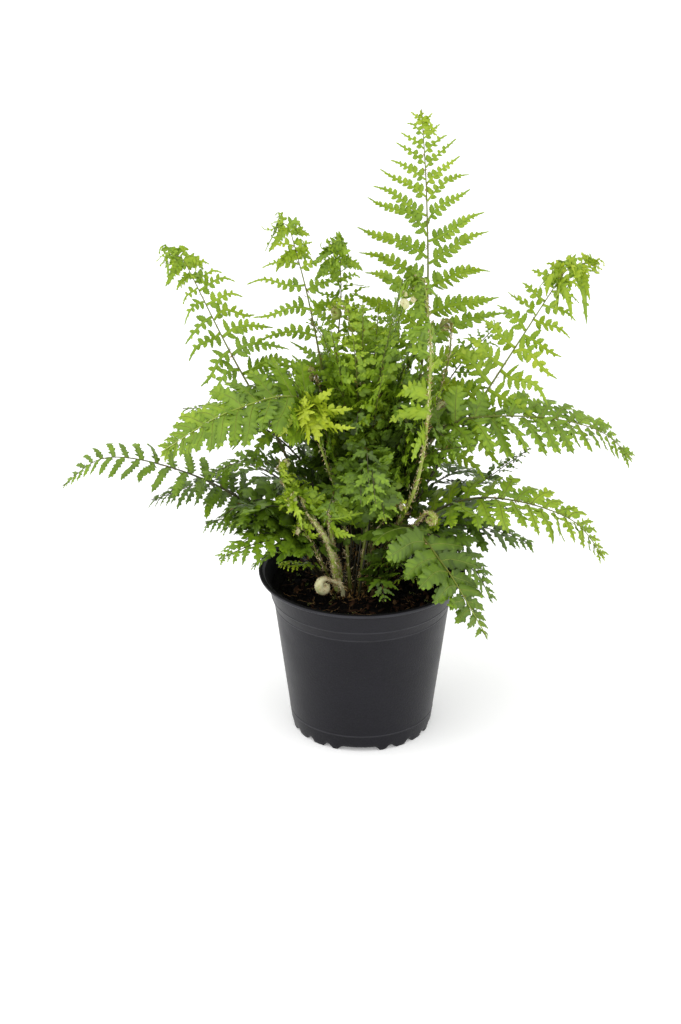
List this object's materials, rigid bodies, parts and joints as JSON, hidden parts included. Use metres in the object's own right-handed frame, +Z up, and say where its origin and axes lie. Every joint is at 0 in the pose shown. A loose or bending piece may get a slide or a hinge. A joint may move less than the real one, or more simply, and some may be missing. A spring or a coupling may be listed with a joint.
{
  "type": "potted soft shield fern",
  "caption": "Soft shield fern with arching, twice-cut fronds and scaly unrolling young fronds, growing in a round tapered black nursery pot.",
  "frame": {"origin": "centre of the pot's underside, on the surface that the pot stands on", "axes": "+Z up along the pot's axis, +X to the right and -Y to the viewer of the picture"},
  "size_m": [0.3573, 0.2069, 0.3975],
  "materials": {
    "pot": "satin black moulded plastic",
    "soil": "damp peat and bark",
    "crown": "rough, scaly",
    "leaf": "soft, slightly glossy leaf",
    "young_stem": "densely scaly, pale golden"
  },
  "bodies": {
    "root": {"pot": "pot", "soil": "soil", "crown": "crown", "frond_tall": "leaf", "frond_left_front": "leaf", "frond_front_right": "leaf", "frond_right_upright": "leaf", "frond_left_upright": "leaf", "frond_upper_left": "leaf", "frond_centre": "leaf", "frond_far_right": "leaf", "frond_low_right": "leaf", "frond_low_right_dark": "leaf", "frond_front_right_short": "leaf", "frond_far_left": "leaf", "frond_left_dark": "leaf", "frond_left_behind": "leaf", "frond_left_thin": "leaf", "frond_left_row": "leaf", "frond_low_left": "leaf", "frond_low_left_dark": "leaf", "frond_right_middle": "leaf", "frond_right_thin": "leaf", "frond_back_right": "leaf", "frond_back": "leaf", "frond_back_left": "leaf", "frond_low_back_right": "leaf", "frond_low_back": "leaf", "frond_low_back_left": "leaf", "frond_low_left_back": "leaf", "frond_inner_left": "leaf", "frond_inner_right": "leaf", "frond_inner_front": "leaf", "frond_inner_back": "leaf", "frond_inner_low_right": "leaf", "sprout_left": "leaf", "sprout_front": "leaf", "sprout_right": "leaf", "crook_tall": "young_stem", "crook_upper": "young_stem", "crook_left": "young_stem", "crook_front_left": "young_stem", "crook_front": "young_stem", "crook_small_left": "young_stem", "crook_hairy_left": "young_stem", "crook_front_right": "young_stem", "crook_short_right": "young_stem", "crozier_pale": "young_stem", "crozier_back": "young_stem", "crozier_centre": "young_stem", "crozier_right": "young_stem", "crozier_low_right": "young_stem", "crozier_high_right": "young_stem"}
  },
  "joints": []
}
